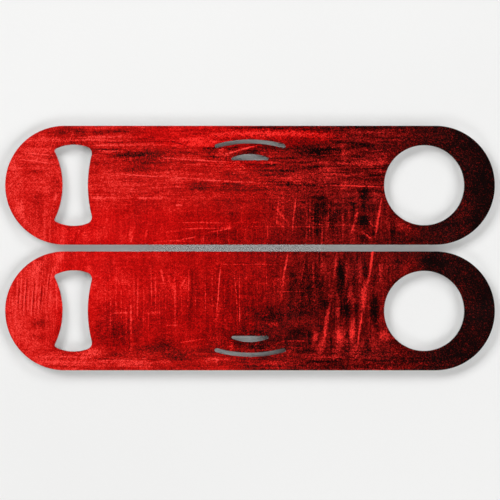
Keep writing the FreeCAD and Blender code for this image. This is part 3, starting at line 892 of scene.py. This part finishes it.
class Artwork(Tree):
    """The node tree of the artwork, with the places, directions and textures that its outputs share."""

    def __init__(self, tree, place):
        super().__init__(tree)
        self.flat = self.vector("MULTIPLY", place, (1.0, 1.0, 0.0))
        wander = self.shift(0.13, WANDER)
        self.wandering = self.vector("ADD", self.flat, wander)
        self.steady = self.vector("MULTIPLY_ADD", wander, (0.1, 0.1, 0.0), self.flat)
        self.ragged = self.vector("ADD", self.steady, self.shift(0.9, RAGGEDNESS))

        # streaks lie along the blades by the outer edges and across them in the middle of the pair
        parts = self.add("SeparateXYZ", (self.wandering,)).outputs
        self.x = parts["X"]
        upper = self.map_range(parts["Y"], *UPPER_TURN)
        lower = self.map_range(parts["Y"], *LOWER_TURN)
        self.lengthways = self.math("MAXIMUM", upper, lower)
        away = self.math("SUBTRACT", 1.0, self.lengthways)
        self.crossways = self.times(self.along(self.wandering, CROSSING), away)
        self.streakiness = self.along(self.flat, STREAKS)
        self.distress = self.along(self.wandering, DISTRESS)

        self.blotches = self.spread(self.flat, (0.16, 0.16, 0), 3, 0.6, 70.0)
        self.grain = self.spread(self.flat, (1.15, 1.3, 0), 2, 0.7, 90.0)
        self.specks = self.spread(self.flat, (2.9, 3.1, 0), 1, 0.6, 120.0)
        self.texture = self.fine_texture()
        self.light = self.marks(LIGHT_MARKS)
        self.dark = self.marks(DARK_MARKS)
        self.pure = self.marks(PURE_PATCHES)

    def shift(self, scale, reach):
        """A random shift of up to half of reach each way. It changes over 1 / scale millimetres."""
        cloud = self.noise(self.flat, scale, 3.0, output="Color")
        return self.scale(self.vector("SUBTRACT", cloud, (0.5, 0.5, 0.5)), reach)

    def along(self, place, levels):
        """The level from a table of places in X, in millimetres, and levels."""
        x = self.add("SeparateXYZ", (place,)).outputs["X"]
        share = self.weighted(x, 1 / ARTWORK_SPAN, 0.5)
        return self.ramp(share, [(0.5 + at / ARTWORK_SPAN, level) for at, level in levels])

    def streaks(self, stretch, turned, detail, roughness, offset):
        """Noise drawn out along the blades by stretch, and across them by turned."""
        first = self.spread(self.ragged, stretch, detail, roughness, offset)
        second = self.spread(self.ragged, turned, detail, roughness, offset + 17.0)
        first = self.times(first, self.weighted(self.lengthways, 0.54, 0.28))
        share = self.weighted(self.crossways, 0.85, 0.12)
        return self.weighted(second, share, first)

    def fine_texture(self):
        """Fine streaks and hairs, with grain and specks."""
        fine = self.streaks((0.08, 0.95, 0), (0.9, 0.09, 0), 2, 0.6, 41.0)
        hairs = self.streaks((0.10, 1.9, 0), (1.8, 0.11, 0), 1, 0.5, 57.0)
        texture = self.weighted(fine, 0.46, self.times(hairs, 0.50))
        texture = self.times(texture, self.streakiness)
        grain_share = self.weighted(self.streakiness, 0.3, 0.15)
        texture = self.weighted(self.grain, grain_share, texture)
        return self.math("ADD", self.specks, texture)

    def hairlines(self, stretch, offset):
        """Thin lines where a stretched noise crosses zero."""
        away = self.math("ABSOLUTE", self.spread(self.steady, stretch, 0, 0.5, offset))
        return self.map_range(away, 0.0, 0.4, 1.0, 0.0)

    def scratches(self, offset, low, high):
        """Long fine scratches, in broken groups."""
        along_x = self.times(self.hairlines((0.012, 0.72, 0), offset), self.lengthways)
        across = self.times(self.hairlines((0.68, 0.014, 0), offset + 5.0), self.crossways)
        groups = self.spread(self.flat, (0.09, 0.09, 0), 1, 0.5, offset + 9.0)
        strength = self.times(self.map_range(groups, low, high), self.streakiness)
        return self.times(self.math("ADD", along_x, across), strength)

    def marks(self, listed):
        total = 0.0
        for x, y, half_length, half_width, slope, strength in listed:
            thin = half_width < THIN
            place = {
                "Vector": self.steady if thin else self.ragged,
                "Location": (x, y, 0.0),
                "Rotation": (0.0, 0.0, math.radians(slope)),
                "Scale": (half_length, half_width, 1.0),
            }
            placed = self.add("Mapping", place, vector_type="TEXTURE").outputs[0]
            mark = self.add("TexGradient", (placed,), gradient_type="SPHERICAL").outputs["Fac"]
            if thin:
                mark = self.math("MINIMUM", mark, PLATEAU)
                strength /= PLATEAU
            total = self.weighted(mark, strength, total)
        return total

    def broad_level(self):
        """How light the artwork is, with broad streaks, blotches and the marks."""
        broad = self.streaks((0.035, 0.32, 0), (0.30, 0.04, 0), 2, 0.5, 3.0)
        coarse = self.times(self.times(broad, 0.030), self.streakiness)
        coarse = self.weighted(self.blotches, 0.020, coarse)
        lightness = self.along(self.wandering, LIGHTNESS)
        level = self.weighted(coarse, self.distress, lightness)
        return self.math("SUBTRACT", self.math("ADD", level, self.light), self.dark)

    def textured(self, level):
        """Adds the texture, which is stronger where the artwork is distressed, and on the marks."""
        contrast = self.weighted(self.lengthways, 0.02, 0.075)
        contrast = self.times(self.distress, contrast)
        marked = self.math("ADD", self.light, self.dark)
        contrast = self.weighted(marked, 0.17, contrast)
        return self.weighted(self.texture, contrast, level)

    def scratched(self, level):
        """Adds fine light scratches and fine dark ones."""
        level = self.weighted(self.scratches(140.0, -0.5, 1.3), 0.16, level)
        darker = self.times(self.scratches(170.0, -0.6, 1.2), self.distress)
        return self.weighted(darker, -0.17, level)

    def flecked(self, level):
        """Adds light flecks in the dark end."""
        flecks = self.weighted(self.grain, 0.5, self.specks)
        flecks = self.map_range(flecks, 0.5, 2.6)
        level = self.math("MAXIMUM", level, 0.0)
        return self.weighted(flecks, self.along(self.flat, FLECKS), level)

    def level(self):
        """How light the print is."""
        level = self.flecked(self.scratched(self.textured(self.broad_level())))
        level = self.math("SMOOTH_MAX", level, DARKEST, DARK_SOFTNESS)
        return self.math("SMOOTH_MIN", level, LIGHTEST, LIGHT_SOFTNESS)

    def rubbed(self):
        """How far the red is the rubbed one, which is all the way by the outer edges."""
        rubbed = self.lengthways
        for start, end, share in RUBBED:
            rubbed = self.math("MAXIMUM", rubbed, self.map_range(self.x, start, end, 0.0, share))
        rubbed = self.weighted(self.blotches, 0.14, rubbed)
        rubbed = self.weighted(self.texture, 0.10, rubbed)
        rubbed = self.weighted(self.light, 1.2, rubbed)
        return self.math("SUBTRACT", rubbed, self.pure, clamp=True)

    def faded(self):
        """How far the red is the faded one."""
        return self.math("SUBTRACT", self.along(self.wandering, FADING), self.pure, clamp=True)


def make_artwork():
    """The artwork as a node group, which takes a place in the row, in millimetres."""
    tree = bpy.data.node_groups.new("distressed_artwork", "ShaderNodeTree")
    tree.interface.new_socket("Place", in_out="INPUT", socket_type="NodeSocketVector")
    art = Artwork(tree, tree.nodes.new("NodeGroupInput").outputs["Place"])
    results = {
        "Level": art.level(),
        "Rubbed": art.rubbed(),
        "Faded": art.faded(),
        "Grain": art.grain,
    }
    for name in results:
        tree.interface.new_socket(name, in_out="OUTPUT", socket_type="NodeSocketFloat")
    group_output = tree.nodes.new("NodeGroupOutput")
    for name, value in results.items():
        tree.links.new(value, group_output.inputs[name])
    return tree


def reds(*rows):
    """The stops of a ramp, from rows that are a level and a display colour."""
    return [(level, linear(*colour)) for level, *colour in rows]


# The reds of the print, from its darkest level to its lightest: in the middle of the pair, where it is
# rubbed, and towards the ring hole.
PURE_RED = reds(
    (0.00, 2, 1, 1), (0.14, 36, 5, 4), (0.39, 100, 3, 3), (0.59, 150, 5, 4), (0.78, 199, 11, 9),
    (0.86, 219, 19, 16), (0.94, 240, 33, 28), (1.00, 255, 56, 50),
)
RUBBED_RED = reds(
    (0.00, 3, 2, 2), (0.14, 36, 7, 6), (0.25, 64, 12, 10), (0.39, 100, 12, 9), (0.59, 150, 11, 8),
    (0.75, 191, 18, 13), (0.84, 214, 31, 25), (0.92, 235, 50, 44), (1.00, 255, 76, 69),
)
FADED_RED = reds(
    (0.00, 2, 1, 1), (0.14, 36, 4, 3), (0.30, 78, 3, 2), (0.44, 112, 9, 7), (0.56, 144, 19, 16),
    (0.69, 176, 28, 25), (0.82, 208, 38, 34), (1.00, 255, 50, 44),
)


def new_material(name):
    material = bpy.data.materials.new(name)
    material.use_nodes = True
    material.node_tree.nodes.clear()
    return material, Tree(material.node_tree)


def finish_material(nodes, height, strength, distance, inputs):
    """Adds the bump, the shader and the output. distance is in metres, for a height of one."""
    bump = nodes.add("Bump", {"Strength": strength, "Distance": distance, "Height": height})
    normal = bump.outputs["Normal"]
    shader = nodes.add("BsdfPrincipled", {**inputs, "Normal": normal, "Coat Normal": normal})
    output = nodes.add("OutputMaterial")
    nodes.tree.links.new(shader.outputs["BSDF"], output.inputs["Surface"])


def place_in_mm(nodes, turn=1):
    """The place in the row's frame, in millimetres, or its mirror image across the X axis."""
    place = nodes.add("TexCoord").outputs["Object"]
    return nodes.vector("MULTIPLY", place, (1 / MM, turn / MM, turn / MM))


def print_colour(nodes, place, art, rim):
    """The reds of the artwork, a little darker along the cut edges, with worn nicks there."""
    nicks = nodes.spread(place, (1.3, 1.3, 1.3), 3, 0.6, 8.0)
    worn = nodes.times(nodes.map_range(nicks, 0.6, 2.2), nodes.math("POWER", rim, 2.0))
    level = nodes.weighted(rim, -0.05, art.outputs["Level"])
    level = nodes.weighted(worn, 0.12, level)
    colour = nodes.mix(art.outputs["Rubbed"], nodes.ramp(level, PURE_RED), nodes.ramp(level, RUBBED_RED))
    return nodes.mix(art.outputs["Faded"], colour, nodes.ramp(level, FADED_RED))


def make_print_material(name, artwork, turn):
    """The film under a satin laminate, with faint orange peel, hairlines, scuffs and a worn rim."""
    material, nodes = new_material(name)
    place = place_in_mm(nodes, turn)
    art = nodes.add("Group", node_tree=artwork)
    material.node_tree.links.new(place, art.inputs["Place"])
    rim = nodes.add("Attribute", attribute_name="rim").outputs["Fac"]

    peel = nodes.spread(place, (0.55, 0.55, 0.55), 2, 0.5, 30.0)
    hairlines = nodes.spread(place, (0.25, 3.4, 1.0), 3, 0.7, 50.0)
    crossing = nodes.spread(place, (2.8, 0.2, 1.0), 3, 0.7, 60.0)
    scuffs = nodes.map_range(nodes.spread(place, (0.07, 0.07, 0.07), 4, 0.6, 80.0), 0.3, 2.2)
    roughness = nodes.weighted(hairlines, 0.02, 0.42)
    roughness = nodes.weighted(scuffs, 0.12, roughness)
    roughness = nodes.weighted(rim, 0.15, roughness, clamp=True)
    height = nodes.weighted(hairlines, 0.25, nodes.times(crossing, 0.15))
    height = nodes.weighted(peel, 0.5, height)
    height = nodes.weighted(art.outputs["Grain"], 0.06, height)
    inputs = {
        "Base Color": print_colour(nodes, place, art, rim),
        "Roughness": roughness,
        "Specular IOR Level": 0.04,
        "Coat Weight": 0.24,
        "Coat Roughness": 0.125,
        "Coat IOR": 1.49,
    }
    finish_material(nodes, height, 0.10, 0.00004, inputs)
    return material


def make_steel_material():
    """Tumbled stainless plate. Its blanked edges keep fine upright lines."""
    material, nodes = new_material("stainless_steel")
    place = place_in_mm(nodes)
    upright = nodes.spread(place, (5.5, 5.5, 0.25), 2, 0.6, 5.0)
    tumbled = nodes.spread(place, (2.2, 2.2, 2.2), 3, 0.6, 15.0)
    clouds = nodes.spread(place, (0.08, 0.08, 0.2), 2, 0.5, 25.0)
    shade = nodes.weighted(clouds, 0.07, 0.5)
    shade = nodes.weighted(upright, 0.02, shade)
    shade = nodes.weighted(tumbled, 0.012, shade, clamp=True)
    greys = [(0.2, (0.35, 0.345, 0.34)), (0.5, (0.48, 0.475, 0.47)), (0.8, (0.61, 0.605, 0.60))]
    colour = nodes.ramp(shade, greys)
    roughness = nodes.weighted(upright, 0.02, 0.26)
    roughness = nodes.weighted(tumbled, 0.02, roughness, clamp=True)
    height = nodes.weighted(upright, 0.6, nodes.times(tumbled, 0.12))
    inputs = {"Base Color": colour, "Metallic": 1.0, "Roughness": roughness}
    finish_material(nodes, height, 0.25, 0.00005, inputs)
    return material


def make_bond_material():
    """Grey acrylic adhesive, seen only as a thin line between the steel and the film."""
    material, nodes = new_material("adhesive")
    place = place_in_mm(nodes)
    lumps = nodes.spread(place, (2.2, 2.2, 2.2), 3, 0.6, 35.0)
    shade = nodes.weighted(lumps, 0.1, 0.5, clamp=True)
    colour = nodes.ramp(shade, [(0.2, linear(120, 112, 106)), (0.8, linear(176, 168, 160))])
    roughness = nodes.weighted(lumps, 0.04, 0.55, clamp=True)
    finish_material(nodes, lumps, 0.3, 0.00003, {"Base Color": colour, "Roughness": roughness})
    return material


def make_floor_material():
    material, nodes = new_material("pale_floor")
    place = place_in_mm(nodes)
    clouds = nodes.spread(place, (0.004, 0.004, 0.004), 3, 0.5, 45.0)
    shade = nodes.weighted(clouds, 0.1, 0.5, clamp=True)
    colour = nodes.ramp(shade, [(0.2, (0.82, 0.82, 0.815)), (0.8, (0.86, 0.86, 0.855))])
    grain = nodes.spread(place, (0.8, 0.8, 0.8), 2, 0.5, 55.0)
    inputs = {"Base Color": colour, "Roughness": 0.7, "Specular IOR Level": 0.2}
    finish_material(nodes, grain, 0.03, 0.0001, inputs)
    return material


# -------- the openers

artwork = make_artwork()
steel = make_steel_material()
adhesive = make_bond_material()
# the two faces that show have the artwork as listed, and the two faces below have its mirror image
prints = {
    1: make_print_material("print_above", artwork, 1),
    -1: make_print_material("print_below", artwork, -1),
}


def add_piece(piece, opener, material, slot, *nodes_replaced):
    piece.data.materials.append(material)
    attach(piece, f"{opener}_opener")
    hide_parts(*nodes_replaced)


for opener, turn in TURNS.items():
    add_piece(make_blade(opener), opener, steel, "steel", f"{opener}_steel_blade")
    for face, way in FACES.items():
        add_piece(make_bond(opener, face), opener, adhesive, "adhesive", f"{opener}_{face}_adhesive")
        layers = f"{opener}_{face}_print", f"{opener}_{face}_laminate"
        add_piece(make_skin(opener, face), opener, prints[turn * way], "print", *layers)


# -------- floor, light and camera

def make_floor():
    """A flat square floor. half is half its side, in metres."""
    half = 6.0
    mesh = bpy.data.meshes.new("floor")
    corners = [(-half, -half, 0), (half, -half, 0), (half, half, 0), (-half, half, 0)]
    mesh.from_pydata(corners, [], [(0, 1, 2, 3)])
    mesh.materials.append(make_floor_material())
    return new_object("floor", mesh)


make_floor()


def add_softbox(name, place, width, depth, power):
    """A rectangular softbox that faces the middle of the pair, in metres and watts."""
    light = bpy.data.lights.new(name, "AREA")
    light.shape = "RECTANGLE"
    light.size, light.size_y, light.energy = width, depth, power
    softbox = new_object(name, light)
    softbox.location = place
    direction = -softbox.location
    softbox.rotation_euler = direction.to_track_quat("-Z", "Y").to_euler()


add_softbox("key_softbox", (-1.0, 0.9, 1.15), 1.1, 0.8, 20.5)
add_softbox("fill_softbox", (1.25, -0.5, 1.1), 1.2, 0.9, 14.5)
add_softbox("back_softbox", (0.5, 1.4, 1.0), 1.2, 0.5, 7.5)
add_softbox("front_softbox", (-0.4, -1.4, 1.1), 1.3, 0.6, 7.5)


def light_the_room():
    """A soft room, darker overhead, so that the gloss keeps its depth from above."""
    world = bpy.data.worlds.new("room")
    world.use_nodes = True
    world.node_tree.nodes.clear()
    nodes = Tree(world.node_tree)
    direction = nodes.add("TexCoord").outputs["Generated"]
    up = nodes.add("SeparateXYZ", (direction,)).outputs["Z"]
    strength = nodes.map_range(up, 0.25, 0.95, 0.34, 0.03)
    background = nodes.add("Background", {"Color": (1.0, 0.995, 0.985, 1.0), "Strength": strength})
    output = nodes.add("OutputWorld")
    world.node_tree.links.new(background.outputs[0], output.inputs["Surface"])
    bpy.context.scene.world = world


light_the_room()
bpy.context.scene.view_settings.view_transform = "Standard"


def add_camera():
    """Straight above the pair, with the row's +Y up in the picture, through a long lens.

    lens and sensor are in millimetres. seen is the width of the picture, and off_centre how far the
    picture's middle lies from the pair's, along Y, both in metres.
    """
    lens, sensor, seen, off_centre = 400.0, 36.0, 0.18143, -0.0007
    camera = bpy.data.cameras.new("camera")
    camera.lens, camera.sensor_width = lens, sensor
    camera.clip_start, camera.clip_end = 0.05, 50.0
    viewer = new_object("camera", camera)
    top = cad_box[1][2]
    viewer.location = (0.0, off_centre, top + seen * lens / sensor)
    bpy.context.scene.camera = viewer


add_camera()
